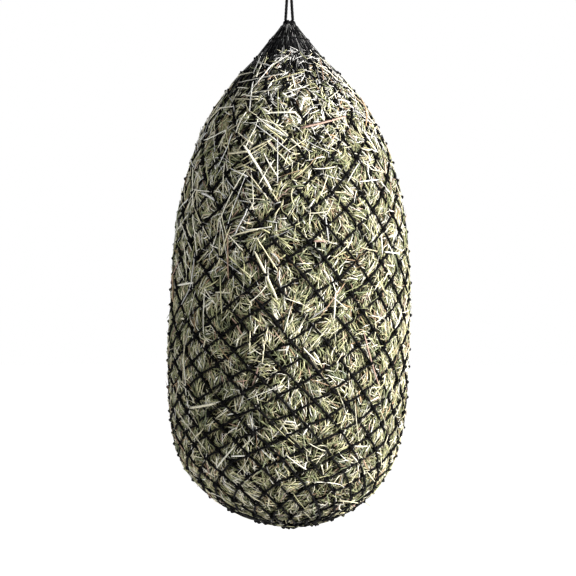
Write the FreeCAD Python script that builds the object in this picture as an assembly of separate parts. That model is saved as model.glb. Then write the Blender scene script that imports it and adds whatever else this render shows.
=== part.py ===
import FreeCAD, Part
import math
import os

# A filled hay net hanging from its drawcord. Millimetres, +Z up, seen from -Y.
# The origin is the inside top of the hanging loop, where the hook bears.

# twine and cord
TWINE_DIAMETER = 3.5
CORD_DIAMETER = 5.0
KNOT_RADIUS = 4.2            # a netting knot, drawn as a ball
GATHER_RADIUS = 3.2          # twine bunched side by side where the meshes close up
GAP = 0.15                   # air between a bar of twine and its knot
BUNCH_GAP = 1.0              # the same for a gathered bunch, which meets its knot at a slant

# the netting
MESHES_ROUND = 22
BAR_LENGTH = 40.0            # from knot to knot along the twine
TWIST_PER_COURSE = 4.6       # sideways shift of each course at the belly
SLIP_ALONG = 2.2             # how far knots stand out of their row
SLIP_AROUND = 2.0            # and to the side

# what the slack net does low down, each by its distance from the mouth
SQUEEZE = [                  # share of a taut net's spacing that its rows keep
    (600.0, 1.0), (740.0, 0.82), (850.0, 0.72), (930.0, 0.74), (1000.0, 1.0),
]
ASKEW = [                    # how far a row hangs out of level, up on one side and down on the other
    (300.0, 0.0), (600.0, 14.0), (760.0, 34.0), (850.0, 48.0), (900.0, 48.0), (1030.0, 0.0),
]
ASKEW_LEAN = 0.6             # where round the net, in radians from the front, the rows slope most

# the hang: heights on the axis
MOUTH_Z = -141.0
KNOT_Z = -60.0
CORD_KNOT_RADIUS = 12.5

# outline of the filled net at the middle of the twine: depth below the mouth, radius
OUTLINE = [
    (2.0, 13.0), (14.0, 18.0), (34.0, 36.0), (70.0, 64.0), (112.0, 101.0), (176.0, 144.0),
    (250.0, 174.5), (330.0, 194.0), (430.0, 204.5), (540.0, 208.0), (640.0, 206.5),
    (710.0, 200.0), (765.0, 185.0), (812.0, 156.0), (848.0, 116.0), (869.0, 72.0),
    (879.0, 32.0), (881.0, 14.0),
]
OUTLINE_STEPS = 24           # points worked out between two points of the outline

# rings of cord at the two ends of the netting
MOUTH_RING_RADIUS = 8.4
BASE_RING_RADIUS = 9.4

# the hay
HAY_INSET = 6.2              # from the middle of the twine to the hay
HAY_TOP_RADIUS = 22.0        # the hay begins where the gathered mouth is this wide
HAY_CURVE_POINTS = 22
FLAKE_GAP = 2.0
FLAKE_CUTS = [               # depth below the mouth, tilt about X and tilt about Y in degrees
    (150.0, 5.0, -6.0),
    (272.0, -4.0, 5.0),
    (392.0, 6.0, 3.0),
    (508.0, -5.0, -4.0),
    (626.0, 3.0, 6.0),
    (745.0, -4.0, -3.0),
]

# cord routes in the XZ plane: corners of straight runs, which arcs join
LOOP_ROUTE = [(-4.2, -47.0), (-11.5, -37.5), (-23.1, -17.5), (-11.5, 2.5),
              (11.5, 2.5), (23.1, -17.5), (11.5, -37.5), (4.2, -47.0)]
LOOP_STRAND_Y = 2.9
LEG_ROUTE = [(3.2, -73.2), (3.6, -94.0), (4.7, -116.0), (6.3, -137.9)]
TAIL_ROUTE = [(12.6, -60.0), (24.0, -60.5), (35.0, -65.0), (43.0, -73.0), (48.0, -83.0)]
ARC_SHARE = 0.45             # share of the shorter run that an arc may take

Z_AXIS = FreeCAD.Vector(0, 0, 1)


def save(name, solids):
    shape = solids[0] if len(solids) == 1 else Part.makeCompound(solids)
    shape.exportStep(os.path.join("parts", name + ".step"))
    volume = sum(solid.Volume for solid in solids)
    print(f"{name}: {len(solids)} solids, {volume / 1000:.1f} cm3")


# outline of the netting

def spline_point(p0, p1, p2, p3, t):
    """A point of the Catmull-Rom curve between p1 and p2."""
    return tuple(
        0.5 * (2 * b + (c - a) * t + (2 * a - 5 * b + 4 * c - d) * t * t
               + (3 * b - a - 3 * c + d) * t * t * t)
        for a, b, c, d in zip(p0, p1, p2, p3)
    )


def meridian():
    """The outline as closely spaced (radius, z) points with their distance along it."""
    corners = [(radius, MOUTH_Z - depth) for depth, radius in OUTLINE]
    padded = [corners[0]] + corners + [corners[-1]]
    points = []
    for index in range(len(corners) - 1):
        for step in range(OUTLINE_STEPS):
            points.append(spline_point(*padded[index:index + 4], step / OUTLINE_STEPS))
    points.append(corners[-1])
    along = [0.0]
    for (r0, z0), (r1, z1) in zip(points, points[1:]):
        along.append(along[-1] + math.hypot(r1 - r0, z1 - z0))
    return points, along


POINTS, ALONG = meridian()


def at_distance(distance):
    """Radius and z at a distance along the outline from the mouth."""
    distance = min(max(distance, 0.0), ALONG[-1])
    index = next(i for i, s in enumerate(ALONG[1:]) if s >= distance)
    t = (distance - ALONG[index]) / (ALONG[index + 1] - ALONG[index])
    (r0, z0), (r1, z1) = POINTS[index], POINTS[index + 1]
    return r0 + (r1 - r0) * t, z0 + (z1 - z0) * t


# rows of knots

def value_at(table, distance):
    """A value between the (distance, value) pairs of a table, level beyond its ends."""
    if distance <= table[0][0]:
        return table[0][1]
    for (s0, value0), (s1, value1) in zip(table, table[1:]):
        if distance <= s1:
            return value0 + (value1 - value0) * (distance - s0) / (s1 - s0)
    return table[-1][1]


def row_step(distance):
    """Distance from here to the next row: a mesh closes as it is pulled long."""
    radius, _ = at_distance(distance)
    half_width = math.pi * radius / MESHES_ROUND
    return math.sqrt(BAR_LENGTH ** 2 - half_width ** 2) * value_at(SQUEEZE, distance)


def walk_rows(stretch):
    """Distances of the rows from the mouth, each a step from the last, until the outline ends."""
    rows = [0.0]
    while rows[-1] < ALONG[-1]:
        rows.append(rows[-1] + stretch * row_step(rows[-1] + BAR_LENGTH / 3))
    return rows


def fit_rows():
    """Rows whose last one lies just at the end of the outline."""
    count = len(walk_rows(1.0))
    low, high = 0.9, 1.1
    for _ in range(40):
        middle = (low + high) / 2
        if len(walk_rows(middle)) > count - 1:
            low = middle
        else:
            high = middle
    rows = walk_rows(low)[:count - 1]
    return rows + [ALONG[-1]] if ALONG[-1] - rows[-1] > BAR_LENGTH / 2 else rows[:-1] + [ALONG[-1]]


def knot_points(rows):
    """Each row's knots: half a mesh round from row to row, twisted, out of level and unevenly slipped."""
    mesh_angle = 2 * math.pi / MESHES_ROUND
    twist_angle = TWIST_PER_COURSE / max(radius for radius, _ in POINTS)
    knots = []
    for row, distance in enumerate(rows):
        fade = min(row, len(rows) - 1 - row, 3) / 3
        ring = []
        for index in range(MESHES_ROUND):
            angle = (index + 0.5 * (row % 2)) * mesh_angle - row * twist_angle
            slip = fade * SLIP_ALONG * math.sin(3 * angle + 1.9 * row) * math.cos(5 * angle - 0.8 * row)
            slip += value_at(ASKEW, distance) * math.sin(angle - ASKEW_LEAN)
            radius, z = at_distance(distance + slip)
            angle += fade * SLIP_AROUND / radius * math.sin(4 * angle - 1.3 * row)
            ring.append(FreeCAD.Vector(radius * math.sin(angle), -radius * math.cos(angle), z))
        knots.append(ring)
    return knots


def pair_below(row, index):
    """The two knots of the next row that a knot's bars go down to."""
    shift = row % 2
    return (index - 1 + shift) % MESHES_ROUND, (index + shift) % MESHES_ROUND


def pair_above(row, index):
    """The two knots of the row above whose bars come down to a knot."""
    return [i for i in range(MESHES_ROUND) if index in pair_below(row - 1, i)]


def bunch_end(row, index, knots):
    """The end on the ring of the bunch of twine that joins an end row's knot to it."""
    here = knots[row][index]
    ring_row = knots[0] if row == 1 else knots[-1]
    radius = math.hypot(ring_row[0].x, ring_row[0].y)
    along = FreeCAD.Vector(here.x, here.y, 0).normalize()
    return along * radius + Z_AXIS * ring_row[0].z


def knot_end(here, targets):
    """Where the twine on one side of a knot is clear of it: distance, half angle and middle line."""
    if len(targets) == 1:
        return KNOT_RADIUS + GAP, 0.0, (targets[0] - here).normalize()
    first, second = (target - here for target in targets)
    half_angle = first.getAngle(second) / 2
    distance = max(KNOT_RADIUS + GAP, (TWINE_DIAMETER / 2 + GAP) / math.sin(half_angle))
    middle = first.normalize() + second.normalize()
    return distance, half_angle, middle.normalize()


def knot_ends(knots, row, index):
    """The upper and the lower end of a knot."""
    here = knots[row][index]
    if row == 1:
        above = [bunch_end(row, index, knots)]
    else:
        above = [knots[row - 1][i] for i in pair_above(row, index)]
    if row == len(knots) - 2:
        below = [bunch_end(row, index, knots)]
    else:
        below = [knots[row + 1][i] for i in pair_below(row, index)]
    return knot_end(here, above), knot_end(here, below)


def knot_solid(here, ends):
    """A ball, or a short bunch of twine where two bars lie side by side."""
    if all(distance <= KNOT_RADIUS + GAP for distance, _, _ in ends):
        return Part.makeSphere(KNOT_RADIUS, here)
    tips = []
    for distance, half_angle, line in ends:
        reach = distance * math.cos(half_angle) - TWINE_DIAMETER / 2 * math.sin(half_angle) - GAP
        tips.append(here + line * reach)
    return Part.makeCylinder(GATHER_RADIUS, (tips[1] - tips[0]).Length, tips[0], tips[1] - tips[0])


def bar_solid(start, end, start_trim, end_trim):
    line = end - start
    length = line.Length - start_trim - end_trim
    line.normalize()
    return Part.makeCylinder(TWINE_DIAMETER / 2, length, start + line * start_trim, line)


def bunch_solid(here, end, trim):
    """Two bars gathered side by side, narrowing to where they pass round the ring."""
    line = end - here
    trim += BUNCH_GAP
    length = line.Length - trim
    line.normalize()
    return Part.makeCone(GATHER_RADIUS, TWINE_DIAMETER / 2, length, here + line * trim, line)


def make_netting(knots):
    """Each course is one ring of knots with the bars that hang from it."""
    last = len(knots) - 2
    ends = {(row, i): knot_ends(knots, row, i) for row in range(1, last + 1) for i in range(MESHES_ROUND)}
    save("mouth_bights", [bunch_solid(knots[1][i], bunch_end(1, i, knots), ends[1, i][0][0])
                          for i in range(MESHES_ROUND)])
    for row in range(1, last + 1):
        solids = []
        for index, here in enumerate(knots[row]):
            solids.append(knot_solid(here, ends[row, index]))
            if row == last:
                continue
            for below in pair_below(row, index):
                start_trim = ends[row, index][1][0]
                end_trim = ends[row + 1, below][0][0]
                solids.append(bar_solid(here, knots[row + 1][below], start_trim, end_trim))
        save(f"net_course_{row:02d}", solids)
    save("base_bights", [bunch_solid(knots[last][i], bunch_end(last, i, knots), ends[last, i][1][0])
                         for i in range(MESHES_ROUND)])


# cord

def route_path(corners):
    """Straight runs joined by tangent arcs, each as large as its two runs allow."""
    edges = []
    radii = []
    start = corners[0]
    for before, corner, after in zip(corners, corners[1:], corners[2:]):
        inward = before - corner
        outward = after - corner
        reach = ARC_SHARE * min(inward.Length, outward.Length)
        half_turn = (math.pi - inward.getAngle(outward)) / 2
        radii.append(reach / math.tan(half_turn))
        inward.normalize()
        outward.normalize()
        arc_start = corner + inward * reach
        arc_end = corner + outward * reach
        to_centre = (inward + outward).normalize()
        centre_distance = math.hypot(radii[-1], reach)
        arc_middle = corner + to_centre * (centre_distance - radii[-1])
        edges.append(Part.LineSegment(start, arc_start).toShape())
        edges.append(Part.Arc(arc_start, arc_middle, arc_end).toShape())
        start = arc_end
    edges.append(Part.LineSegment(start, corners[-1]).toShape())
    return Part.Wire(edges), radii


def make_cord(name, route, y=0.0, mirror=False):
    side = -1 if mirror else 1
    corners = [FreeCAD.Vector(side * x, y, z) for x, z in route]
    path, radii = route_path(corners)
    section = Part.Wire([Part.makeCircle(CORD_DIAMETER / 2, corners[0], corners[1] - corners[0])])
    solid = path.makePipeShell([section], True, True)
    expected = math.pi * CORD_DIAMETER ** 2 / 4 * path.Length
    print(f"{name}: length {path.Length:.1f}, radii {[round(r, 1) for r in radii]}, "
          f"volume over section times length {solid.Volume / expected:.4f}")
    save(name, [solid])


def make_ring(name, radius, z):
    centre = FreeCAD.Vector(0, 0, z)
    save(name, [Part.makeTorus(radius, CORD_DIAMETER / 2, centre, Z_AXIS)])


# hay

def hay_body():
    """The whole filling: the outline drawn in by the inset, turned about the axis."""
    inset = []
    for (r0, z0), (r1, z1) in zip(POINTS, POINTS[1:]):
        length = math.hypot(r1 - r0, z1 - z0)
        inset.append(((r0 + r1) / 2 + HAY_INSET * (z1 - z0) / length,
                      (z0 + z1) / 2 - HAY_INSET * (r1 - r0) / length))
    first = next(i for i, (radius, _) in enumerate(inset) if radius > HAY_TOP_RADIUS)
    inset = inset[first:]
    picked = [inset[round(i * (len(inset) - 1) / HAY_CURVE_POINTS)] for i in range(HAY_CURVE_POINTS + 1)]
    top = FreeCAD.Vector(0, 0, picked[0][1])
    bottom = FreeCAD.Vector(0, 0, min(z for _, z in picked))
    side_points = [FreeCAD.Vector(radius, 0, z) for radius, z in picked if z > bottom.z + GAP]
    curve = Part.BSplineCurve()
    curve.interpolate(Points=side_points + [bottom])
    edges = [Part.LineSegment(top, side_points[0]).toShape(), curve.toShape(),
             Part.LineSegment(bottom, top).toShape()]
    face = Part.Face(Part.Wire(edges))
    return face.revolve(FreeCAD.Vector(0, 0, 0), Z_AXIS, 360)


def half_space(depth, tilt_x, tilt_y, above):
    """A block whose flat side is a tilted cut across the filling."""
    size = 3 * max(radius for radius, _ in POINTS) + OUTLINE[-1][0]
    block = Part.makeBox(size, size, size, FreeCAD.Vector(-size / 2, -size / 2, 0 if above else -size))
    offset = FLAKE_GAP / 2 if above else -FLAKE_GAP / 2
    block.translate(FreeCAD.Vector(0, 0, offset))
    rotation = FreeCAD.Rotation(FreeCAD.Vector(0, 1, 0), tilt_y).multiply(
        FreeCAD.Rotation(FreeCAD.Vector(1, 0, 0), tilt_x))
    block.Placement = FreeCAD.Placement(FreeCAD.Vector(0, 0, MOUTH_Z - depth), rotation).multiply(
        block.Placement)
    return block


def make_flakes():
    hay = hay_body()
    for index in range(len(FLAKE_CUTS) + 1):
        flake = hay
        if index > 0:
            flake = flake.common(half_space(*FLAKE_CUTS[index - 1], above=False))
        if index < len(FLAKE_CUTS):
            flake = flake.common(half_space(*FLAKE_CUTS[index], above=True))
        save(f"hay_flake_{index + 1:02d}", flake.Solids)


os.makedirs("parts", exist_ok=True)

knot_rows = knot_points(fit_rows())
print(f"{len(knot_rows)} rows of knots along {ALONG[-1]:.0f} mm")
make_netting(knot_rows)
make_ring("drawcord_mouth_ring", MOUTH_RING_RADIUS, MOUTH_Z)
make_ring("base_ring", BASE_RING_RADIUS, MOUTH_Z - OUTLINE[-1][0])
make_cord("hanging_loop_front", LOOP_ROUTE, y=-LOOP_STRAND_Y)
make_cord("hanging_loop_back", LOOP_ROUTE, y=LOOP_STRAND_Y)
make_cord("drawcord_leg_left", LEG_ROUTE, mirror=True)
make_cord("drawcord_leg_right", LEG_ROUTE)
make_cord("drawcord_tail_left", TAIL_ROUTE, mirror=True)
make_cord("drawcord_tail_right", TAIL_ROUTE)
save("loop_knot", [Part.makeSphere(CORD_KNOT_RADIUS, FreeCAD.Vector(0, 0, KNOT_Z))])
make_flakes()
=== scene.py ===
import math

import bpy
import numpy as np
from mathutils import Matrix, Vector


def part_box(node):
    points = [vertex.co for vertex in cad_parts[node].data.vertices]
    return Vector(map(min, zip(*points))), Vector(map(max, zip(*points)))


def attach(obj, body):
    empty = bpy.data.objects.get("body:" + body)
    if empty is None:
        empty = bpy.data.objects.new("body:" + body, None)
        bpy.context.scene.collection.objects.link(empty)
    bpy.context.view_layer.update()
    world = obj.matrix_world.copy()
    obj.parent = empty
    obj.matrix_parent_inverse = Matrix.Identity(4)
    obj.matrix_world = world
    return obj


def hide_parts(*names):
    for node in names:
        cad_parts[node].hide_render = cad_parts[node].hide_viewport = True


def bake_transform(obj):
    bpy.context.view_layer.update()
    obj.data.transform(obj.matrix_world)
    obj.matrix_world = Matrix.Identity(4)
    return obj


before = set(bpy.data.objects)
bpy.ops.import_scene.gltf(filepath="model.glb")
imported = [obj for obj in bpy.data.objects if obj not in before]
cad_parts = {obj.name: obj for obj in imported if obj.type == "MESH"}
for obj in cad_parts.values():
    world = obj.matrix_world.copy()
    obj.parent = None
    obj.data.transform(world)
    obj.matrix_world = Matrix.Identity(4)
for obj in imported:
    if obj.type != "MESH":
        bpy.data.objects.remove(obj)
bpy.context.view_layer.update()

# Filled hay net on its drawcord: black netting, packed hay, stems that poke through.
# Everything is laid out on the net by angle round the axis and distance down from the mouth.

mouthZ = sum(corner.z for corner in map(Vector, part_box("drawcord_mouth_ring"))) / 2
fullTurn = 2 * math.pi

netting = {
    "meshesRound": 22,
    "barLength": 0.040,         # knot to knot
    "twistPerCourse": 0.0046,   # sideways shift of each course at the belly
    "slipAlong": 0.0022,        # how far knots stand out of their row
    "slipAround": 0.0020,
    # what the slack net does low down, by the distance from the mouth: the share of a taut net's row
    # spacing that is left, and how far a row hangs out of level
    "squeeze": [(0.600, 1.0), (0.740, 0.82), (0.850, 0.72), (0.930, 0.74), (1.000, 1.0)],
    "askew": [(0.300, 0.0), (0.600, 0.014), (0.760, 0.034), (0.850, 0.048), (0.900, 0.048), (1.030, 0.0)],
    "askewLean": 0.6,           # where round the net the rows slope most
    "twineRadius": 0.00190,
    "knotSize": 0.0039,         # half the spread of a knot
    "outlineSteps": 24,
    # depth below the mouth, radius at the middle of the twine
    "outline": [
        (0.002, 0.0105), (0.014, 0.0145), (0.034, 0.0310), (0.070, 0.0605), (0.112, 0.0995),
        (0.176, 0.144), (0.250, 0.1745), (0.330, 0.194), (0.430, 0.2045), (0.540, 0.208),
        (0.640, 0.2065), (0.710, 0.200), (0.765, 0.185), (0.812, 0.154), (0.848, 0.112),
        (0.869, 0.067), (0.879, 0.029), (0.881, 0.014),
    ],
    # how far the full net hangs off its own axis, sideways, by depth below the mouth
    "sway": [(0.05, 0.0), (0.24, 0.0045), (0.45, 0.0030), (0.62, -0.0020), (0.76, -0.0035), (0.82, 0.0),
             (0.881, 0.0060)],
}


def tableAt(table, distance):
    places, values = zip(*table)
    return np.interp(distance, places, values)


def smoothLine(points, perSpan, closed=False):
    # Catmull-Rom through the points
    points = np.asarray(points)
    if closed:
        padded = np.vstack([points[-1:], points, points[:2]])
    else:
        padded = np.vstack([points[:1], points, points[-1:]])
    t = (np.arange(perSpan) / perSpan)[:, None]
    spans = []
    for i in range(len(padded) - 3):
        a, b, c, d = padded[i:i + 4]
        spans.append(0.5 * (2 * b + (c - a) * t + (2 * a - 5 * b + 4 * c - d) * t ** 2
                            + (3 * b - a - 3 * c + d) * t ** 3))
    if not closed:
        spans.append(points[-1:])
    return np.vstack(spans)


# Outline of the net as tables over the distance along it

def outlineTables():
    corners = [(radius, mouthZ - depth) for depth, radius in netting["outline"]]
    points = smoothLine(corners, netting["outlineSteps"])
    steps = np.diff(points, axis=0)
    along = np.concatenate([[0.0], np.cumsum(np.hypot(steps[:, 0], steps[:, 1]))])
    slope = np.gradient(points, along, axis=0)
    return along, points[:, 0], points[:, 1], -slope[:, 1], slope[:, 0]


alongTable, radiusTable, heightTable, outTable, upTable = outlineTables()
netLength = alongTable[-1]


def radiusAt(distance):
    return np.interp(distance, alongTable, radiusTable)


def onNet(angle, distance, lift=0.0):
    # points at a lift above the middle of the twine
    radius = radiusAt(distance)
    out = np.interp(distance, alongTable, outTable)
    up = np.interp(distance, alongTable, upTable)
    reach = radius + lift * out
    height = np.interp(distance, alongTable, heightTable)
    sideways = tableAt(netting["sway"], mouthZ - height)
    return np.stack([reach * np.sin(angle) + sideways, -reach * np.cos(angle), height + lift * up], axis=-1)


def outwardAt(angle, distance):
    out = np.interp(distance, alongTable, outTable)
    up = np.interp(distance, alongTable, upTable)
    normals = np.stack([out * np.sin(angle), -out * np.cos(angle), up], axis=-1)
    return normals / np.linalg.norm(normals, axis=-1, keepdims=True)


def turnBetween(first, second):
    return (second - first + math.pi) % fullTurn - math.pi


# Rows of knots, half a mesh round from row to row

def rowStep(distance):
    # a mesh closes as it is pulled long
    halfWidth = math.pi * radiusAt(distance) / netting["meshesRound"]
    return math.sqrt(netting["barLength"] ** 2 - halfWidth ** 2) * tableAt(netting["squeeze"], distance)


def walkRows(stretch):
    rows = [0.0]
    while rows[-1] < netLength:
        rows.append(rows[-1] + stretch * rowStep(rows[-1] + netting["barLength"] / 3))
    return rows


def fitRows():
    count = len(walkRows(1.0))
    low, high = 0.9, 1.1
    for _ in range(40):
        middle = (low + high) / 2
        if len(walkRows(middle)) > count - 1:
            low = middle
        else:
            high = middle
    rows = walkRows(low)[:count - 1]
    if netLength - rows[-1] > netting["barLength"] / 2:
        return rows + [netLength]
    return rows[:-1] + [netLength]


def knotPlaces():
    rows = np.array(fitRows())
    count = netting["meshesRound"]
    row = np.arange(len(rows))[:, None]
    angle = (np.arange(count)[None, :] + 0.5 * (row % 2)) * fullTurn / count
    angle = angle - row * netting["twistPerCourse"] / radiusTable.max()
    fade = np.minimum(np.minimum(row, len(rows) - 1 - row), 3) / 3
    slip = fade * netting["slipAlong"] * np.sin(3 * angle + 1.9 * row) * np.cos(5 * angle - 0.8 * row)
    slip = slip + tableAt(netting["askew"], rows)[:, None] * np.sin(angle - netting["askewLean"])
    distance = np.clip(rows[:, None] + slip, 0, netLength)
    angle = angle + fade * netting["slipAround"] / radiusAt(distance) * np.sin(4 * angle - 1.3 * row)
    return angle, distance


knotAngle, knotAlong = knotPlaces()
rowCount, meshCount = knotAngle.shape
print(f"net: {rowCount} rows of {meshCount} knots over {netLength:.3f} m")


def pairBelow(row, index):
    shift = row % 2
    return (index - 1 + shift) % meshCount, (index + shift) % meshCount


# How far each place on the net is from the nearest bar of twine

clearanceMap = {"around": 720, "along": 520, "farthest": 0.030}


def makeClearance():
    around, alongCount, farthest = (clearanceMap[k] for k in ("around", "along", "farthest"))
    distances = np.linspace(0, netLength, alongCount)
    radii = np.maximum(radiusAt(distances), 0.004)
    angles = np.arange(around) * fullTurn / around
    nearest = np.full((alongCount, around), farthest)
    for row in range(rowCount - 1):
        for index in range(meshCount):
            for below in pairBelow(row, index):
                a0, s0 = knotAngle[row, index], knotAlong[row, index]
                turn, drop = turnBetween(a0, knotAngle[row + 1, below]), knotAlong[row + 1, below] - s0
                window = np.nonzero((distances > s0 - farthest) & (distances < s0 + drop + farthest))[0]
                r = radii[window][:, None]
                middle = a0 + turn / 2
                spread = (farthest + abs(turn) * r.max() / 2) / r.min()
                across = turnBetween(middle, angles)
                columns = np.nonzero(np.abs(across) < spread)[0]
                x = (across[columns][None, :] + turn / 2) * r
                y = (distances[window] - s0)[:, None]
                ex = turn * r
                t = np.clip((x * ex + y * drop) / (ex ** 2 + drop ** 2), 0, 1)
                gap = np.hypot(x - t * ex, y - t * drop)
                block = np.ix_(window, columns)
                nearest[block] = np.minimum(nearest[block], gap)
    return nearest


clearance = makeClearance()


def clearanceAt(angle, distance):
    rows, columns = clearance.shape
    y = np.clip(distance / netLength, 0, 1) * (rows - 1)
    x = (angle / fullTurn % 1.0) * columns
    y0, x0 = np.floor(y).astype(int), np.floor(x).astype(int)
    fy, fx = y - y0, x - x0
    y1, x1 = np.minimum(y0 + 1, rows - 1), (x0 + 1) % columns
    x0 = x0 % columns
    top = clearance[y0, x0] * (1 - fx) + clearance[y0, x1] * fx
    bottom = clearance[y1, x0] * (1 - fx) + clearance[y1, x1] * fx
    return top * (1 - fy) + bottom * fy


# Hay bulges in each mesh and is pressed down under the twine

pillow = {"underTwine": -0.0052, "crown": 0.0005, "reach": 0.0125, "neckSink": 0.009, "neckEnd": 0.17,
          "footSink": 0.004, "footStart": 0.86, "lumps": 0.0012}


def pillowAt(angle, distance):
    t = np.clip(clearanceAt(angle, distance) / pillow["reach"], 0, 1)
    swell = 1 - (1 - t) ** 2.4
    lumps = np.sin(3 * angle + 14 * distance) * np.sin(2 * angle - 19 * distance + 1.0)
    neck = np.clip(1 - distance / pillow["neckEnd"], 0, 1) ** 1.5
    foot = np.clip((distance - pillow["footStart"]) / (netLength - pillow["footStart"]), 0, 1)
    rise = pillow["underTwine"] + (pillow["crown"] - pillow["underTwine"]) * swell
    return rise + pillow["lumps"] * lumps * swell - pillow["neckSink"] * neck - pillow["footSink"] * foot


# Materials

def newMaterial(name, roughness):
    material = bpy.data.materials.new(name)
    material.use_nodes = True
    shader = material.node_tree.nodes["Principled BSDF"]
    shader.inputs["Roughness"].default_value = roughness
    shader.inputs["Specular IOR Level"].default_value = 0.12
    return material, material.node_tree.nodes, material.node_tree.links, shader


def colourRamp(nodes, stops):
    ramp = nodes.new("ShaderNodeValToRGB")
    elements = ramp.color_ramp.elements
    while len(elements) < len(stops):
        elements.new(0.5)
    for element, (place, colour) in zip(elements, stops):
        element.position = place
        element.color = (*colour, 1)
    return ramp


def noiseNode(nodes, links, scale, detail):
    place = nodes.new("ShaderNodeTexCoord")
    node = nodes.new("ShaderNodeTexNoise")
    node.inputs["Scale"].default_value = scale
    node.inputs["Detail"].default_value = detail
    links.new(place.outputs["Object"], node.inputs["Vector"])
    return node


def attributeNode(nodes, name):
    node = nodes.new("ShaderNodeAttribute")
    node.attribute_name = name
    return node


def bumpShader(nodes, links, shader, height, strength, distance):
    bump = nodes.new("ShaderNodeBump")
    bump.inputs["Strength"].default_value = strength
    bump.inputs["Distance"].default_value = distance
    links.new(height, bump.inputs["Height"])
    links.new(bump.outputs["Normal"], shader.inputs["Normal"])


def multiplyColours(nodes, links, first, second, factor):
    mix = nodes.new("ShaderNodeMix")
    mix.data_type = "RGBA"
    mix.blend_type = "MULTIPLY"
    mix.inputs["Factor"].default_value = factor
    links.new(first, mix.inputs["A"])
    links.new(second, mix.inputs["B"])
    return mix.outputs["Result"]


stemTints = [
    (0.00, (0.045, 0.052, 0.028)),   # dark leaf
    (0.12, (0.150, 0.175, 0.125)),   # grey-green
    (0.26, (0.270, 0.300, 0.155)),   # olive
    (0.42, (0.520, 0.510, 0.290)),   # green straw
    (0.56, (0.740, 0.680, 0.430)),   # yellow straw
    (0.68, (0.910, 0.890, 0.780)),   # pale cream
    (0.76, (0.900, 0.900, 0.880)),   # bleached
    (0.83, (0.330, 0.330, 0.320)),   # weathered grey
    (0.91, (0.420, 0.290, 0.160)),   # tan
    (1.00, (0.420, 0.290, 0.250)),   # reddish seed head
]


def stemMaterial():
    material, nodes, links, shader = newMaterial("hayStems", 0.62)
    tone = attributeNode(nodes, "tone")
    ramp = colourRamp(nodes, stemTints)
    links.new(tone.outputs["Fac"], ramp.inputs["Fac"])
    streaks = noiseNode(nodes, links, 420.0, 2.0)
    wear = colourRamp(nodes, [(0.30, (0.62, 0.60, 0.55)), (0.60, (1.0, 1.0, 1.0))])
    links.new(streaks.outputs["Fac"], wear.inputs["Fac"])
    tinted = multiplyColours(nodes, links, ramp.outputs["Color"], wear.outputs["Color"], 0.8)
    # painted shade: the "depth" attribute darkens stems that lie deep in the hay or near the twine
    depth = attributeNode(nodes, "depth")
    paintedShadeRamp = colourRamp(nodes, [(0.0, (0.045, 0.042, 0.044)), (0.36, (0.34, 0.33, 0.30)),
                              (0.74, (1.0, 1.0, 1.0))])
    links.new(depth.outputs["Fac"], paintedShadeRamp.inputs["Fac"])
    shaded = multiplyColours(nodes, links, tinted, paintedShadeRamp.outputs["Color"], 1.0)
    links.new(shaded, shader.inputs["Base Color"])
    bumpShader(nodes, links, shader, streaks.outputs["Fac"], 0.35, 0.0006)
    return material


def coreMaterial():
    # painted shadow: the hay core under the stems is near black for the shaded gaps between stems, with dim
    # specks of hay in that shade
    material, nodes, links, shader = newMaterial("hayShadow", 0.95)
    shader.inputs["Specular IOR Level"].default_value = 0.02
    shadowSpeckle = noiseNode(nodes, links, 260.0, 6.0)
    ramp = colourRamp(nodes, [(0.35, (0.003, 0.003, 0.002)), (0.62, (0.014, 0.014, 0.008)),
                              (0.80, (0.050, 0.048, 0.026))])
    links.new(shadowSpeckle.outputs["Fac"], ramp.inputs["Fac"])
    links.new(ramp.outputs["Color"], shader.inputs["Base Color"])
    bumpShader(nodes, links, shader, shadowSpeckle.outputs["Fac"], 1.0, 0.003)
    return material


def fibreMaterial():
    material, nodes, links, shader = newMaterial("mouthFibres", 0.6)
    shade = attributeNode(nodes, "shade")
    ramp = colourRamp(nodes, [(0.0, (0.003, 0.003, 0.004)), (0.35, (0.020, 0.020, 0.021)),
                              (1.0, (0.300, 0.300, 0.290))])
    links.new(shade.outputs["Fac"], ramp.inputs["Fac"])
    fuzz = noiseNode(nodes, links, 500.0, 2.0)
    links.new(multiplyColours(nodes, links, ramp.outputs["Color"], fuzz.outputs["Color"], 0.4),
              shader.inputs["Base Color"])
    return material


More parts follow.
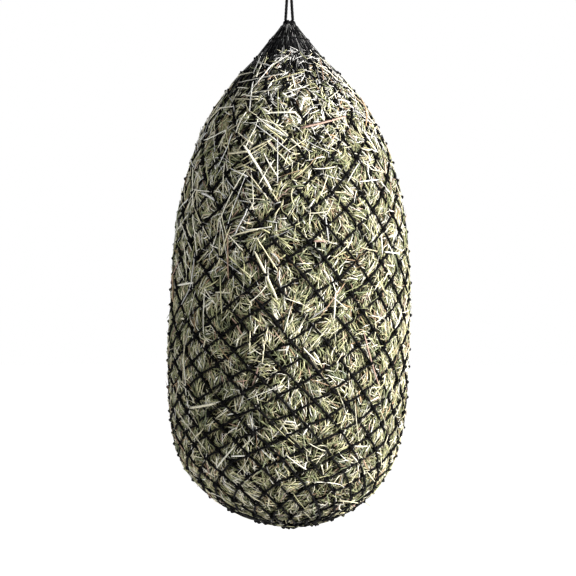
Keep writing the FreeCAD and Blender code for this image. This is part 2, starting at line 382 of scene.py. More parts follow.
def twineMaterial(name, strandsAlong, lightest):
    # laid fibres: slanting strands from the UV map, u round the twine and v along it
    material, nodes, links, shader = newMaterial(name, 0.62)
    shader.inputs["Specular IOR Level"].default_value = 0.06
    uv = nodes.new("ShaderNodeUVMap")
    uv.uv_map = "twist"
    split = nodes.new("ShaderNodeSeparateXYZ")
    links.new(uv.outputs["UV"], split.inputs[0])
    slant = nodes.new("ShaderNodeMath")
    slant.operation = "MULTIPLY_ADD"
    slant.inputs[1].default_value = strandsAlong
    links.new(split.outputs["Y"], slant.inputs[0])
    links.new(split.outputs["X"], slant.inputs[2])
    wave = nodes.new("ShaderNodeMath")
    wave.operation = "SINE"
    turns = nodes.new("ShaderNodeMath")
    turns.operation = "MULTIPLY"
    turns.inputs[1].default_value = 3 * fullTurn
    links.new(slant.outputs[0], turns.inputs[0])
    links.new(turns.outputs[0], wave.inputs[0])
    ramp = colourRamp(nodes, [(0.0, (0.0008, 0.0008, 0.0010)), (0.50, (0.0030, 0.0030, 0.0033)),
                              (1.0, lightest)])
    lift = nodes.new("ShaderNodeMath")
    lift.operation = "MULTIPLY_ADD"
    lift.inputs[1].default_value = 0.5
    lift.inputs[2].default_value = 0.5
    links.new(wave.outputs[0], lift.inputs[0])
    fuzz = noiseNode(nodes, links, 900.0, 2.0)
    blend = nodes.new("ShaderNodeMath")
    blend.operation = "MULTIPLY"
    links.new(lift.outputs[0], blend.inputs[0])
    links.new(fuzz.outputs["Fac"], blend.inputs[1])
    links.new(blend.outputs[0], ramp.inputs["Fac"])
    links.new(ramp.outputs["Color"], shader.inputs["Base Color"])
    bumpShader(nodes, links, shader, blend.outputs[0], 0.7, 0.0008)
    return material


# Meshes from arrays

def newPiece(name, vertices, quads, triangles, materials):
    mesh = bpy.data.meshes.new(name)
    quads = np.asarray(quads, dtype=np.int32).reshape(-1, 4)
    triangles = np.asarray(triangles, dtype=np.int32).reshape(-1, 3)
    loops = np.concatenate([quads.ravel(), triangles.ravel()])
    sizes = np.concatenate([np.full(len(quads), 4), np.full(len(triangles), 3)]).astype(np.int32)
    starts = np.concatenate([[0], np.cumsum(sizes)[:-1]]).astype(np.int32)
    mesh.vertices.add(len(vertices))
    mesh.vertices.foreach_set("co", np.asarray(vertices, dtype=np.float32).ravel())
    mesh.loops.add(len(loops))
    mesh.loops.foreach_set("vertex_index", loops)
    mesh.polygons.add(len(sizes))
    mesh.polygons.foreach_set("loop_start", starts)
    for material in materials:
        mesh.materials.append(material)
    mesh.polygons.foreach_set("use_smooth", np.full(len(sizes), True))
    mesh.update(calc_edges=True)
    piece = bpy.data.objects.new(name, mesh)
    bpy.context.scene.collection.objects.link(piece)
    return piece


def pointValues(piece, name, values):
    attribute = piece.data.attributes.new(name, "FLOAT", "POINT")
    attribute.data.foreach_set("value", np.asarray(values, dtype=np.float32).ravel())


def joinParts(parts):
    # vertices, quads, triangles and whatever goes with them, from several sets into one
    joined, offset = [], 0
    for vertices, quads, triangles, *rest in parts:
        joined.append((vertices, quads + offset, triangles + offset, *rest))
        offset += len(vertices)
    return tuple(np.concatenate(column) for column in zip(*joined))


# Stems: bundles of bent three-sided rods and blades

def rodMesh(centres, sideways, outward, halfWidth, halfThick, twist):
    # centres (stems, samples, 3); returns vertices, quads, end triangles
    stems, samples, _ = centres.shape
    sides = 3
    taper = np.ones(samples)
    taper[0] = taper[-1] = 0.55
    rings = []
    for side in range(sides):
        turn = fullTurn * side / sides + twist
        w = (np.cos(turn) * halfWidth)[:, None, None] * taper[None, :, None]
        h = (np.sin(turn) * halfThick)[:, None, None] * taper[None, :, None]
        rings.append(centres + sideways * w + outward * h)
    vertices = np.stack(rings, axis=2).reshape(-1, 3)
    base = (np.arange(stems) * samples * sides)[:, None, None]
    ring = (np.arange(samples - 1) * sides)[None, :, None]
    a = base + ring + np.arange(sides)[None, None, :]
    b = base + ring + (np.arange(sides)[None, None, :] + 1) % sides
    quads = np.stack([a, b, b + sides, a + sides], axis=-1).reshape(-1, 4)
    first = (np.arange(stems) * samples * sides)[:, None]
    last = first + (samples - 1) * sides
    triangles = np.concatenate([first + np.array([2, 1, 0]), last + np.array([0, 1, 2])])
    return vertices, quads, triangles


hayStems = {
    "seed": 11,
    # where the stems begin below the mouth, and how much lower at the left
    "topEnd": 0.062, "topLean": 0.028, "topLeanTurn": 0.3,
    "shadeFrom": -0.0040, "shadeTo": 0.0026,    # layers between which the painted shade on the stems goes from darkest to none
    "bleachedBy": [(0.10, 1.0), (0.35, 0.8), (0.55, 0.25), (1.0, 0.10)],    # more of the stems are bleached towards the top
    # how many, points in each, shortest and longest, half width, how deep or high they lie, how far
    # their ends tip, how far they stray from the grain, and the shares of some colours and of those
    # over the twine
    "kinds": [
        {"count": 15000, "samples": 4, "length": (0.008, 0.024), "width": (0.00040, 0.00070),
         "layer": (-0.0042, -0.0010), "tilt": 0.0010, "scatter": 0.7,
         "cream": 0.06, "bleached": 0.03, "brown": 0.18, "over": 0.0},
        {"count": 18000, "samples": 5, "length": (0.014, 0.042), "width": (0.00043, 0.00079),
         "layer": (-0.0022, 0.0012), "tilt": 0.0016, "scatter": 0.42,
         "cream": 0.18, "bleached": 0.07, "brown": 0.10, "over": 0.012},
        {"count": 7500, "samples": 5, "length": (0.014, 0.048), "width": (0.00050, 0.00090),
         "layer": (0.0002, 0.0022), "tilt": 0.0020, "scatter": 0.65,
         "cream": 0.36, "bleached": 0.12, "brown": 0.10, "over": 0.06},
    ],
    # stems that lie loose over the net: thick near the top, a few everywhere
    "loose": [
        {"count": 330, "samples": 6, "length": (0.010, 0.032), "width": (0.00045, 0.00080),
         "layer": (0.0016, 0.0036), "tilt": 0.0018, "scatter": 1.2, "sector": (0.0, math.pi),
         "cream": 0.30, "bleached": 0.30, "brown": 0.10, "over": 1.0,
         "share": [(0.065, 0.0), (0.10, 1.0), (0.26, 0.9), (0.42, 0.3), (0.60, 0.1), (0.70, 0.0)]},
        {"count": 430, "samples": 6, "length": (0.006, 0.020), "width": (0.00035, 0.00060),
         "layer": (0.0012, 0.0030), "tilt": 0.0012, "scatter": 0.9, "sector": (0.45, 0.80),
         "cream": 0.08, "bleached": 0.86, "brown": 0.04, "over": 1.0,
         "share": [(0.045, 0.0), (0.065, 1.0), (0.20, 1.0), (0.30, 0.2), (0.34, 0.0)]},
        {"count": 300, "samples": 8, "length": (0.020, 0.055), "width": (0.00060, 0.00100),
         "layer": (0.0022, 0.0042), "tilt": 0.0016, "scatter": 1.4, "sector": (0.0, math.pi),
         "cream": 0.55, "bleached": 0.20, "brown": 0.08, "over": 1.0,
         "share": [(0.07, 0.0), (0.12, 1.0), (0.20, 1.0), (0.45, 0.5), (0.70, 0.25), (1.0, 0.2)]},
        {"count": 85, "samples": 10, "length": (0.040, 0.100), "width": (0.00070, 0.00120),
         "layer": (0.0026, 0.0048), "tilt": 0.0024, "scatter": 0.7, "sector": (-0.75, 0.70), "bend": 0.05,
         "cream": 0.50, "bleached": 0.38, "brown": 0.0, "over": 1.0,
         "share": [(0.08, 0.0), (0.11, 1.0), (0.38, 1.0), (0.50, 0.2), (0.80, 0.0)]},
        {"count": 14, "samples": 10, "length": (0.060, 0.105), "width": (0.00110, 0.00160),
         "layer": (0.0026, 0.0042), "tilt": 0.0016, "scatter": 0.5, "sector": (0.0, math.pi), "bend": 0.06,
         "cream": 0.0, "bleached": 0.0, "brown": 1.0, "over": 1.0,
         "share": [(0.12, 0.0), (0.16, 1.0), (0.40, 1.0), (0.60, 0.3), (0.90, 0.0)]},
        {"count": 50, "samples": 9, "length": (0.035, 0.070), "width": (0.00070, 0.00120),
         "layer": (0.0026, 0.0048), "tilt": 0.0024, "scatter": 1.4, "sector": (0.0, math.pi), "bend": 0.05,
         "cream": 0.55, "bleached": 0.10, "brown": 0.15, "over": 1.0,
         "share": [(0.08, 0.0), (0.20, 1.0), (0.90, 1.0), (1.0, 0.0)]},
        {"count": 1800, "samples": 4, "length": (0.004, 0.012), "width": (0.00028, 0.00050),
         "layer": (0.0008, 0.0028), "tilt": 0.0012, "scatter": 1.6, "sector": (0.0, math.pi),
         "cream": 0.20, "bleached": 0.60, "brown": 0.10, "over": 1.0,
         "share": [(0.06, 0.0), (0.10, 1.0), (1.0, 1.0)]},
        {"count": 700, "samples": 4, "length": (0.008, 0.020), "width": (0.00040, 0.00070),
         "layer": (0.0006, 0.0024), "tilt": 0.0036, "scatter": 1.6, "sector": (0.0, math.pi),
         "cream": 0.30, "bleached": 0.15, "brown": 0.10, "over": 0.5,
         "share": [(0.06, 0.0), (0.10, 1.0), (1.0, 1.0)]},
    ],
    "evenShare": [(0.03, 0.0), (0.12, 1.0), (1.04, 1.0)],
    "kinkShare": 0.12,
    "stiffness": 0.6,           # how far a stem keeps straight over the pillow of hay under it
    "bladeShare": 0.20,
    "bladeWidth": 2.0,
    "bladeThickness": 0.30,
    "air": 0.0003,              # between a stem and the twine it passes
    "tuckedNear": 0.0034,       # stems this near a bar of twine go under it
    "shadeFreeAt": 0.009,            # no painted shade from nearness to the twine this far from it
    "depthShare": 0.72,         # how much of a stem's painted shade comes from how deep it lies, the rest from how near the twine it is
}


def grain(angle, distance):
    # the lie of the hay: steep on the whole, and turning slowly from place to place
    return (math.pi / 2 + 0.70 * np.sin(5 * angle + 23 * distance)
            + 0.60 * np.sin(9 * angle - 37 * distance + 2.0)
            + 0.35 * np.sin(23 * angle + 61 * distance + 4.0))


def spread(rng, low, high, count, power=1.0):
    return low + (high - low) * rng.random(count) ** power


def topEndAt(angle):
    return hayStems["topEnd"] - hayStems["topLean"] * np.sin(angle - hayStems["topLeanTurn"])


def placesOnNet(rng, kind):
    # even over the surface apart from the kind's own share by distance and its sector round the net
    share = tableAt(kind.get("share", hayStems["evenShare"]), alongTable) * radiusTable
    total = np.concatenate([[0.0], np.cumsum((share[1:] + share[:-1]) / 2 * np.diff(alongTable))])
    distance = np.interp(rng.random(kind["count"]) * total[-1], total, alongTable)
    middle, halfWidth = kind.get("sector", (0.0, math.pi))
    angle = middle + halfWidth * (2 * rng.random(kind["count"]) - 1)
    first = topEndAt(angle)
    return angle, first + np.abs(distance - first)


def stemPaths(rng, kind):
    count, samples = kind["count"], kind["samples"]
    angle, distance = placesOnNet(rng, kind)
    heading = grain(angle, distance) + rng.normal(0, kind["scatter"], count)
    length = spread(rng, *kind["length"], count, 1.6)
    bend = rng.normal(0, kind.get("bend", 0.16), count)
    kink = np.where(rng.random(count) < hayStems["kinkShare"], rng.normal(0, 0.55, count), 0.0)
    kinkAt = spread(rng, -0.25, 0.25, count)
    t = np.linspace(-0.5, 0.5, samples)[None, :]
    x = length[:, None] * t
    kinked = kink[:, None] * np.maximum(t - kinkAt[:, None], 0)
    y = length[:, None] * (bend[:, None] * (t ** 2 - 0.08) + kinked)
    u = x * np.cos(heading)[:, None] - y * np.sin(heading)[:, None]
    v = x * np.sin(heading)[:, None] + y * np.cos(heading)[:, None]
    distances = np.clip(distance[:, None] + v, topEndAt(angle)[:, None] - 0.02, netLength - 0.001)
    angles = angle[:, None] + u / np.maximum(radiusAt(distances), 0.02)
    layer = spread(rng, *kind["layer"], count)
    tilt = rng.normal(0, kind["tilt"], count)
    width = spread(rng, *kind["width"], count)
    bed = pillowAt(angles, distances)
    slope = (bed * t).sum(axis=1, keepdims=True) / (t ** 2).sum()
    straight = bed.mean(axis=1, keepdims=True) + slope * t
    lift = hayStems["stiffness"] * straight + (1 - hayStems["stiffness"]) * bed
    lift = lift + layer[:, None] + tilt[:, None] * t * 2
    near = clearanceAt(angles, distances)
    room = netting["twineRadius"] + width[:, None] + hayStems["air"]
    over = (rng.random(count) < kind["over"])[:, None]
    under = np.where(near < hayStems["tuckedNear"], np.minimum(lift, near - room), lift)
    lift = np.where(over, np.maximum(lift, room), under)
    # painted shade: stems deep in the hay or near a bar of twine get a darker colour, carried by the
    # "depth" attribute
    lowest, highest = hayStems["shadeFrom"], hayStems["shadeTo"]
    depth = np.clip((layer - lowest) / (highest - lowest), 0, 1)
    share = hayStems["depthShare"]
    shade = np.clip(depth[:, None] * share + near / hayStems["shadeFreeAt"] * (1 - share), 0, 1)
    return angles, distances, lift, width, shade


def stemBundle(rng, paths, tones):
    angles, distances, lift, width, shade = paths
    centres = onNet(angles, distances, lift)
    outward = outwardAt(angles, distances)
    forward = np.gradient(centres, axis=1)
    sideways = np.cross(forward, outward)
    sideways /= np.linalg.norm(sideways, axis=-1, keepdims=True) + 1e-12
    outward = np.cross(sideways, forward)
    outward /= np.linalg.norm(outward, axis=-1, keepdims=True) + 1e-12
    count = len(width)
    blade = rng.random(count) < hayStems["bladeShare"]
    halfWidth = np.where(blade, width * hayStems["bladeWidth"], width)
    halfThick = np.where(blade, width * hayStems["bladeThickness"], width)
    twist = np.where(blade, rng.normal(0, 0.5, count), rng.random(count) * fullTurn)
    vertices, quads, triangles = rodMesh(centres, sideways, outward, halfWidth, halfThick, twist)
    tone = np.repeat(tones, centres.shape[1] * 3)
    # each stem's painted shade, for the "depth" attribute
    depth = np.repeat(shade.reshape(-1), 3)
    return vertices, quads, triangles, tone, depth


def mixedTones(rng, kind, distance):
    # greens and straws first, then the kind's own shares of cream, bleached and brown
    count = kind["count"]
    tone = 0.06 + 0.50 * rng.beta(2.2, 2.0, count)
    pick = rng.random(count)
    bleached = kind["bleached"] * tableAt(hayStems["bleachedBy"], distance)
    cream = kind["cream"] + 0.5 * (kind["bleached"] - bleached)
    tone = np.where(pick < cream + bleached + kind["brown"], spread(rng, 0.86, 1.0, count), tone)
    tone = np.where(pick < cream + bleached, spread(rng, 0.73, 0.82, count), tone)
    return np.where(pick < cream, spread(rng, 0.57, 0.71, count), tone)


flakeNames = sorted(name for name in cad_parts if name.startswith("hay_flake"))


def flakeEdges():
    boxes = [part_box(name) for name in flakeNames]
    edges = [(upper[0][2] + lower[1][2]) / 2 for upper, lower in zip(boxes, boxes[1:])]
    return [1.0] + edges + [-9.0]


def pickStems(paths, chosen):
    return tuple(values[chosen] for values in paths)


def makeStems(material):
    rng = np.random.default_rng(hayStems["seed"])
    edges = flakeEdges()
    groups = []
    for kind in hayStems["kinds"] + hayStems["loose"]:
        paths = stemPaths(rng, kind)
        tones = mixedTones(rng, kind, paths[1].mean(axis=1))
        middle = onNet(paths[0], paths[1])[:, kind["samples"] // 2, 2]
        groups.append((paths, tones, middle))
    for index, name in enumerate(flakeNames):
        bundles = []
        for paths, tones, middle in groups:
            chosen = (middle <= edges[index]) & (middle > edges[index + 1])
            bundles.append(stemBundle(rng, pickStems(paths, chosen), tones[chosen]))
        vertices, quads, triangles, tone, depth = joinParts(bundles)
        piece = newPiece(f"hay_stems_{index + 1:02d}", vertices, quads, triangles, [material])
        pointValues(piece, "tone", tone)
        # the "depth" attribute carries the stems' painted shade
        pointValues(piece, "depth", depth)
        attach(piece, "net")
        print(f"{piece.name}: {len(quads) * 2 + len(triangles)} triangles")


hayCore = {"around": 300, "spacing": 0.0045, "below": 0.0042, "start": 0.030, "overlap": 0.006}


def makeCores(material):
    edges = flakeEdges()
    around = hayCore["around"]
    distances = np.arange(hayCore["start"], netLength, hayCore["spacing"])
    heights = np.interp(distances, alongTable, heightTable)
    angle = np.arange(around) * fullTurn / around
    for index, name in enumerate(flakeNames):
        highest, lowest = edges[index] + hayCore["overlap"], edges[index + 1] - hayCore["overlap"]
        rows = np.nonzero((heights <= highest) & (heights >= lowest))[0]
        if index == len(flakeNames) - 1:
            rows = np.arange(rows[0], len(distances))
        a, s = np.meshgrid(angle, distances[rows])
        ripple = 0.0008 * np.sin(61 * a + 400 * s) * np.sin(43 * a - 510 * s)
        shell = onNet(a, s, pillowAt(a, s) - hayCore["below"] + ripple)
        top, bottom = shell[0].mean(axis=0), shell[-1].mean(axis=0)
        vertices = np.vstack([shell.reshape(-1, 3), [top], [bottom]])
        rowStart = (np.arange(len(rows) - 1) * around)[:, None]
        left = np.arange(around)[None, :]
        right = (left + 1) % around
        quads = np.stack([rowStart + left, rowStart + around + left, rowStart + around + right,
                          rowStart + right], axis=-1).reshape(-1, 4)
        ringEnd = (len(rows) - 1) * around
        capTop = np.stack([left[0], right[0], np.full(around, len(vertices) - 2)], axis=-1)
        capBottom = np.stack([ringEnd + right[0], ringEnd + left[0],
                              np.full(around, len(vertices) - 1)], axis=-1)
        piece = newPiece(f"hay_core_{index + 1:02d}", vertices, quads,
                         np.concatenate([capTop, capBottom]), [material])
        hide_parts(name)
        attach(piece, "net")


# Twine

def tube(points, radius, sides, closed=False, relief=None):
    # vertices, quads, end triangles and UVs of a round tube along one line of points
    points = np.asarray(points)
    if closed:
        forward = np.roll(points, -1, axis=0) - np.roll(points, 1, axis=0)
    else:
        forward = np.gradient(points, axis=0)
    forward /= np.linalg.norm(forward, axis=1, keepdims=True) + 1e-12
    side = np.zeros_like(points)
    start = Vector(forward[0]).orthogonal().normalized()
    side[0] = start
    for i in range(1, len(points)):
        carried = side[i - 1] - forward[i] * np.dot(side[i - 1], forward[i])
        side[i] = carried / (np.linalg.norm(carried) + 1e-12)
    other = np.cross(forward, side)
    turns = np.arange(sides) * fullTurn / sides
    ring = (side[:, None, :] * np.cos(turns)[None, :, None]
            + other[:, None, :] * np.sin(turns)[None, :, None])
    steps = np.linalg.norm(np.diff(points, axis=0), axis=1)
    along = np.concatenate([[0.0], np.cumsum(steps)])
    radii = np.broadcast_to(radius, len(points))[:, None] * np.ones(sides)
    if relief is not None:
        total = along[-1] + (np.linalg.norm(points[0] - points[-1]) if closed else 0.0)
        radii = radii + relief(np.arange(sides)[None, :] / sides, along[:, None], total)
    vertices = (points[:, None, :] + ring * radii[:, :, None]).reshape(-1, 3)
    count = len(points)
    spans = count if closed else count - 1
    base = (np.arange(spans) * sides)[:, None]
    after = ((np.arange(spans) + 1) % count * sides)[:, None]
    left = np.arange(sides)[None, :]
    right = (left + 1) % sides
    quads = np.stack([base + left, base + right, after + right, after + left], axis=-1).reshape(-1, 4)
    if closed:
        along = np.concatenate([along, [along[-1] + np.linalg.norm(points[0] - points[-1])]])
    v0 = np.repeat(along[:spans], sides)
    v1 = np.repeat(along[1:spans + 1], sides)
    u0 = np.tile(np.arange(sides) / sides, spans)
    u1 = u0 + 1 / sides
    uvs = np.stack([np.stack([u0, v0], -1), np.stack([u1, v0], -1), np.stack([u1, v1], -1),
                    np.stack([u0, v1], -1)], axis=1).reshape(-1, 2)
    if closed:
        return vertices, quads, np.zeros((0, 3), int), uvs
    lastRing = (count - 1) * sides
    fan = np.arange(1, sides - 1)
    caps = np.concatenate([np.stack([np.zeros_like(fan), fan + 1, fan], -1),
                           np.stack([np.full_like(fan, lastRing), lastRing + fan, lastRing + fan + 1], -1)])
    return vertices, quads, caps, uvs


def tubesPiece(name, lines, radius, sides, material, closed=False, relief=None):
    parts = [tube(line, radius, sides, closed, relief) for line in lines]
    vertices, quads, caps, uvs = joinParts(parts)
    piece = newPiece(name, vertices, quads, caps, [material])
    layer = piece.data.uv_layers.new(name="twist")
    flat = np.concatenate([uvs, np.zeros((len(caps) * 3, 2))])
    layer.data.foreach_set("uv", flat.astype(np.float32).ravel())
    return piece


meshKnot = {
    # across, down and out in shares of the knot's size: the bight from above and the hitch round it
    "bight": [(-0.75, -1.00, 0.05), (-0.52, -0.25, 0.15), (-0.36, 0.42, 0.28), (0.0, 0.68, 0.34),
              (0.36, 0.42, 0.28), (0.52, -0.25, 0.15), (0.75, -1.00, 0.05)],
    "hitch": [(-0.60, 0.95, 0.0), (-0.22, 0.25, -0.10), (0.10, -0.22, 0.60), (0.74, -0.45, 0.50),
              (0.80, -0.66, -0.40), (0.0, -0.72, -0.72), (-0.82, -0.60, -0.35), (-0.80, -0.32, 0.55),
              (-0.08, -0.05, 1.08), (0.36, 0.40, 0.72), (0.60, 0.95, 0.05)],
    "barBow": 0.0012,
    "samplesPerSpan": 2,
    "sides": 7,
}


def knotPoints(row, index, shape):
    angle, distance = knotAngle[row, index], knotAlong[row, index]
    size = netting["knotSize"] * min(1.0, 0.40 + distance / 0.20)   # drawn tight where the net is gathered
    across, down, out = np.array(meshKnot[shape]).T * size
    radius = max(float(radiusAt(distance)), 0.012)
    return onNet(angle + across / radius, np.clip(distance + down, 0, netLength), out)


def barPoints(a, b, shares=(0.3, 0.5, 0.7)):
    # a bar of twine from knot a to knot b, bowed out by the hay behind it
    (a0, s0), (a1, s1) = a, b
    turn = turnBetween(a0, a1)
    t = np.array(shares)
    bow = meshKnot["barBow"] * 4 * t * (1 - t)
    return onNet(a0 + turn * t, s0 + (s1 - s0) * t, bow)


def place(row, index):
    return knotAngle[row, index], knotAlong[row, index]


def makeCourse(row, material):
    # one run of twine right round: a hitch at each of its own knots, a bight at each knot below
    points = []
    for index in range(meshCount):
        below = pairBelow(row, index)[1]
        following = (index + 1) % meshCount
        points.append(knotPoints(row, index, "hitch"))
        points.append(barPoints(place(row, index), place(row + 1, below)))
        points.append(knotPoints(row + 1, below, "bight"))
        points.append(barPoints(place(row + 1, below), place(row, following)))
    line = smoothLine(np.vstack(points), meshKnot["samplesPerSpan"], closed=True)
    piece = tubesPiece(f"netting_{row:02d}", [line], netting["twineRadius"], meshKnot["sides"],
                       material, True)
    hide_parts(f"net_course_{row:02d}")
    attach(piece, "net")


def makeLastCourse(row, material):
    lines = [smoothLine(knotPoints(row, index, "hitch"), 3) for index in range(meshCount)]
    piece = tubesPiece(f"netting_{row:02d}", lines, netting["twineRadius"], meshKnot["sides"], material)
    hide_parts(f"net_course_{row:02d}")
    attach(piece, "net")


gathers = {
    # ring of cord that closes the mouth, just inside the bights
    "mouthRadius": 0.0050, "mouthDrop": 0.0058,
    "baseRadius": 0.0094,
    "layerStep": 0.0011,        # bights side by side lie in three layers
    "fibreSeed": 5,
    "fibres": 900, "fibreRadius": (0.00030, 0.00080), "fibreEnd": (0.035, 0.185), "fibreStart": 0.009,
}
baseZ = sum(corner[2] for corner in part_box("base_ring")) / 2


def ringBights(row, end, ringRadius, ringZ, upward):
    # each bight goes from one knot over the ring of cord and back to the next knot
    over = drawcord["diameter"] / 2 + netting["twineRadius"]
    lines = []
    for index in range(meshCount):
        following = (index + 1) % meshCount
        a, b = place(row, index), place(row, following)
        middle = a[0] + turnBetween(a[0], b[0]) / 2
        layer = gathers["layerStep"] * (index % 3 - 1)
        lip = np.array([
            (ringRadius + over * 1.10 + layer, ringZ - upward * 0.0045),
            (ringRadius + over * 0.85 + layer * 0.5, ringZ + upward * (over * 0.45 + layer)),
            (ringRadius + over * 0.15, ringZ + upward * (over + layer)),
            (ringRadius - over * 0.55, ringZ + upward * over * 0.65),
        ])
        swing = fullTurn / meshCount * 0.16
        lipPoints = []
        for side in (-1, 1):
            turn = middle + side * swing
            lipPoints.append(np.stack([lip[:, 0] * np.sin(turn), -lip[:, 0] * np.cos(turn), lip[:, 1]], -1))
        down = barPoints(a, (middle, end), (0.0, 0.25, 0.5, 0.75))
        back = barPoints((middle, end), b, (0.25, 0.5, 0.75, 1.0))
        points = np.vstack([down, lipPoints[0], lipPoints[1][::-1], back])
        lines.append(smoothLine(points, 3))
    return lines


def gatherFibres(rng):
    # fine fibres and slack twine matted over the gathered mouth, from the ring down
    count = gathers["fibres"]
    end = spread(rng, *gathers["fibreEnd"], count, 1.5)
    angle = rng.random(count) * fullTurn
    lean = rng.normal(0, 0.12, count)
    lift = spread(rng, 0.0004, 0.0018, count)
    wave = rng.random(count) * fullTurn
    t = np.linspace(0, 1, 10)
    shoulder = gathers["mouthRadius"] + drawcord["diameter"] / 2
    lines = []
    for i in range(count):
        sway = 0.0011 * np.sin(9 * t + wave[i])
        distance = gathers["fibreStart"] + (end[i] - gathers["fibreStart"]) * t
        turn = angle[i] + lean[i] * t + sway / radiusAt(distance)
        line = onNet(turn, distance, lift[i] + 0.0009 * np.cos(7 * t + wave[i]))
        top = np.array([shoulder * math.sin(angle[i]), -shoulder * math.cos(angle[i]),
                        mouthZ - gathers["mouthDrop"] + 0.003 * math.sin(wave[i])])
        lines.append(np.vstack([top, line]) if i % 2 else line)
    return lines


def gatherPiece(name, node, lines, material):
    piece = tubesPiece(name, lines, netting["twineRadius"], meshKnot["sides"], material)
    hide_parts(node)
    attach(piece, "net")


def makeGathers(material, fibreMaterial):
    mouthTop = mouthZ - gathers["mouthDrop"]
    mouth = ringBights(1, 0.006, gathers["mouthRadius"], mouthTop, 1)
    gatherPiece("netting_mouth", "mouth_bights", mouth, material)
    base = ringBights(rowCount - 2, netLength - 0.001, gathers["baseRadius"], baseZ, -1)
    gatherPiece("netting_base", "base_bights", base, material)
    rng = np.random.default_rng(gathers["fibreSeed"])
    lines = gatherFibres(rng)
    thickness = spread(rng, *gathers["fibreRadius"], len(lines))
    bundles = [tube(line, radius, 5) for line, radius in zip(lines, thickness)]
    vertices, quads, caps, _ = joinParts(bundles)
    piece = newPiece("mouth_fibres", vertices, quads, caps, [fibreMaterial])
    shade = np.repeat(rng.random(len(lines)) ** 2.2, [len(bundle[0]) for bundle in bundles])
    pointValues(piece, "shade", shade)
    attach(piece, "net")


# Drawcord: one braided cord that runs through the mouth, up to a knot and on as a doubled hanging loop

drawcord = {
    "diameter": 0.005,
    "braidStep": 0.0062,        # length of one crossing of the braid
    "strandsRound": 8,
    "relief": 0.00032,
    "sides": 24,
    "strandY": 0.0029,          # the two loops lie one behind the other
    # across and up, from the knot over the top and back
    "loop": [(-0.0042, -0.050), (-0.0115, -0.0375), (-0.0231, -0.0175), (-0.0115, 0.0025),
             (0.0115, 0.0025), (0.0231, -0.0175), (0.0115, -0.0375), (0.0042, -0.050)],
    # from the mouth up to the knot
    "leg": [(0.0063, -0.1395), (0.0047, -0.1160), (0.0036, -0.0940), (0.0031, -0.0690)],
    # from the knot out to the cut end
    "tail": [(0.0080, -0.0600), (0.0240, -0.0605), (0.0350, -0.0650), (0.0430, -0.0730), (0.0480, -0.0830)],
    "knot": {"centreZ": -0.060, "size": 0.0026, "depth": 0.0043, "apart": 0.0022},
}


def routeLine(corners):
    # the smooth line of a cord whose route has these corners
    curve = bpy.data.curves.new("route", "CURVE")
    curve.dimensions = "3D"
    curve.resolution_u = 30
    spline = curve.splines.new("NURBS")
    spline.points.add(len(corners) - 1)
    for point, corner in zip(spline.points, corners):
        point.co = (*corner, 1)
    spline.order_u = 3
    spline.use_endpoint_u = True
    holder = bpy.data.objects.new("route", curve)
    line = bpy.data.meshes.new_from_object(holder)
    points = np.array([vertex.co[:] for vertex in line.vertices])
    bpy.data.objects.remove(holder)
    bpy.data.curves.remove(curve)
    bpy.data.meshes.remove(line)
    return points


def braid(u, along, total):
    # crossing strands, a whole number of them along a closed ring
    steps = max(round(total / drawcord["braidStep"]), 1)
    strands = drawcord["strandsRound"] / 2
    rise = along / total * steps
    weave = np.abs(np.sin(math.pi * (strands * u + rise)) * np.sin(math.pi * (strands * u - rise)))
    return drawcord["relief"] * (weave ** 0.6 - 0.6)


def cordPiece(name, lines, material, closed=False):
    piece = tubesPiece(name, lines, drawcord["diameter"] / 2, drawcord["sides"], material, closed, braid)
    return piece


def ringLine(radius, z, count):
    turn = np.arange(count) * fullTurn / count
    return np.stack([radius * np.sin(turn), -radius * np.cos(turn), np.full(count, z)], axis=-1)


def cordKnot(material):
    # a doubled cord in an overhand knot drawn tight
    knot = drawcord["knot"]
    t = np.arange(240) * fullTurn / 240
    middle = np.stack([np.sin(t) + 2 * np.sin(2 * t), np.zeros_like(t), np.cos(t) - 2 * np.cos(2 * t)], -1)
    middle *= knot["size"]
    middle[:, 1] = knot["depth"] * np.sin(3 * t)
    middle[:, 2] += knot["centreZ"]
    forward = np.roll(middle, -1, axis=0) - np.roll(middle, 1, axis=0)
    aside = np.cross(forward, (0, 1, 0))
    aside /= np.linalg.norm(aside, axis=1, keepdims=True)
    lines = [middle + aside * side * knot["apart"] for side in (-1, 1)]
    piece = cordPiece("drawcord_knot", lines, material, True)
    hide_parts("loop_knot")
    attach(piece, "cord_knot")
    return piece


def makeCords(material):
    for name, y in (("front", -drawcord["strandY"]), ("back", drawcord["strandY"])):
        points = routeLine([(x, y, z) for x, z in drawcord["loop"]])
        piece = cordPiece(f"loop_{name}", [points], material)
        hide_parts(f"hanging_loop_{name}")
        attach(piece, "loop")
    knot = cordKnot(material)
    for name, side in (("left", -1), ("right", 1)):
        points = routeLine([(side * x, 0.0, z) for x, z in drawcord["leg"]])
        leg = cordPiece(f"leg_{name}", [points], material)
        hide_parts(f"drawcord_leg_{name}")
        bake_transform(leg)
        points = routeLine([(side * x, 0.0, z) for x, z in drawcord["tail"]])
        tail = cordPiece(f"tail_{name}", [points], material)
        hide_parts(f"drawcord_tail_{name}")
        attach(tail, "cord_knot")
    rings = (("mouth_ring", "drawcord_mouth_ring", gathers["mouthRadius"], mouthZ - gathers["mouthDrop"]),
             ("base_ring_cord", "base_ring", gathers["baseRadius"], baseZ))
    for name, node, radius, z in rings:
        ring = cordPiece(name, [ringLine(radius, z, 90)], material, True)
        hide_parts(node)
        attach(ring, "net")


# Camera, floor and light

view = {"distance": 3.0, "width": 1.008, "middleZ": -0.608, "sideX": -0.002}


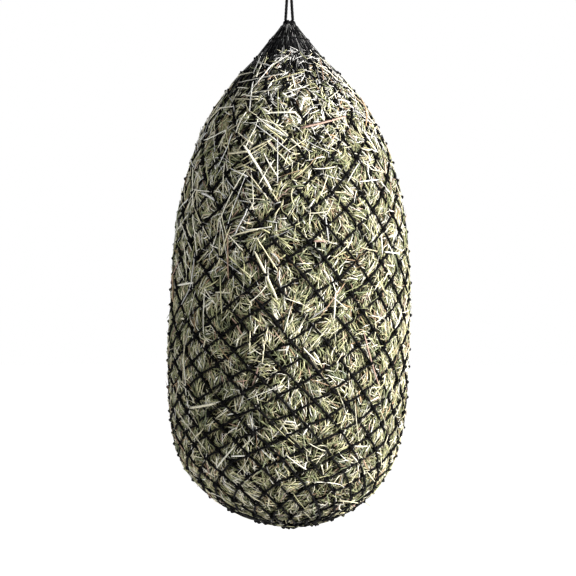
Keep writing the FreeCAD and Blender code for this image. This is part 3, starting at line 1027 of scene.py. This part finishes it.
def makeCamera():
    data = bpy.data.cameras.new("camera")
    data.sensor_width = 36
    data.lens = data.sensor_width * view["distance"] / view["width"]
    camera = bpy.data.objects.new("camera", data)
    camera.location = (view["sideX"], -view["distance"], view["middleZ"])
    camera.rotation_euler = (math.pi / 2, 0, 0)
    bpy.context.scene.collection.objects.link(camera)
    bpy.context.scene.camera = camera


studio = {
    "floorZ": -2.1, "floorSize": 60.0,
    "key": {"place": (2.65, -1.12, 0.30), "size": 0.6, "watts": 345, "colour": (1.0, 0.98, 0.955)},
    "fill": {"place": (-1.9, -2.1, 0.6), "size": 0.5, "watts": 58, "colour": (0.97, 0.985, 1.0)},
    "back": {"place": (0.3, 2.6, 0.5), "size": 1.5, "watts": 60, "colour": (1.0, 1.0, 1.0)},
    "sky": 0.07,
}


def makeLight(name, setting, aim):
    data = bpy.data.lights.new(name, "AREA")
    data.size = setting["size"]
    data.energy = setting["watts"]
    data.color = setting["colour"]
    lamp = bpy.data.objects.new(name, data)
    lamp.location = setting["place"]
    lamp.rotation_euler = (aim - lamp.location).to_track_quat("-Z", "Y").to_euler()
    bpy.context.scene.collection.objects.link(lamp)


def onlySeen(nodes, links, target, unseen, seen):
    # one strength for what the camera sees, another for the light it gives
    ray = nodes.new("ShaderNodeLightPath")
    strength = nodes.new("ShaderNodeMapRange")
    strength.inputs["To Min"].default_value = unseen
    strength.inputs["To Max"].default_value = seen
    links.new(ray.outputs["Is Camera Ray"], strength.inputs["Value"])
    links.new(strength.outputs["Result"], target)


def makeStudio():
    material, nodes, links, shader = newMaterial("paleFloor", 0.8)
    shader.inputs["Base Color"].default_value = (0.9, 0.9, 0.9, 1)
    shader.inputs["Emission Color"].default_value = (1, 1, 1, 1)
    onlySeen(nodes, links, shader.inputs["Emission Strength"], 0.0, 1.0)
    half = studio["floorSize"] / 2
    corners = [(-half, -half, studio["floorZ"]), (half, -half, studio["floorZ"]),
               (half, half, studio["floorZ"]), (-half, half, studio["floorZ"])]
    floor = newPiece("floor", corners, [[0, 1, 2, 3]], [], [material])
    aim = Vector((0, 0, view["middleZ"]))
    for name in ("key", "fill", "back"):
        makeLight(name, studio[name], aim)
    world = bpy.data.worlds.new("whiteRoom")
    world.use_nodes = True
    nodes, links = world.node_tree.nodes, world.node_tree.links
    background = nodes["Background"]
    background.inputs["Color"].default_value = (1, 1, 1, 1)
    onlySeen(nodes, links, background.inputs["Strength"], studio["sky"], 1.0)
    bpy.context.scene.world = world
    bpy.context.scene.view_settings.view_transform = "Standard"


makeCamera()
makeStudio()
print("camera and studio ready")

makeCords(twineMaterial("blackCord", 60.0, (0.030, 0.030, 0.032)))
print("cords ready")

twineBlack = twineMaterial("blackTwine", 90.0, (0.022, 0.022, 0.023))
for courseRow in range(1, rowCount - 2):
    makeCourse(courseRow, twineBlack)
makeLastCourse(rowCount - 2, twineBlack)
makeGathers(twineBlack, fibreMaterial())
print("netting ready")

makeCores(coreMaterial())
makeStems(stemMaterial())
print("hay ready")
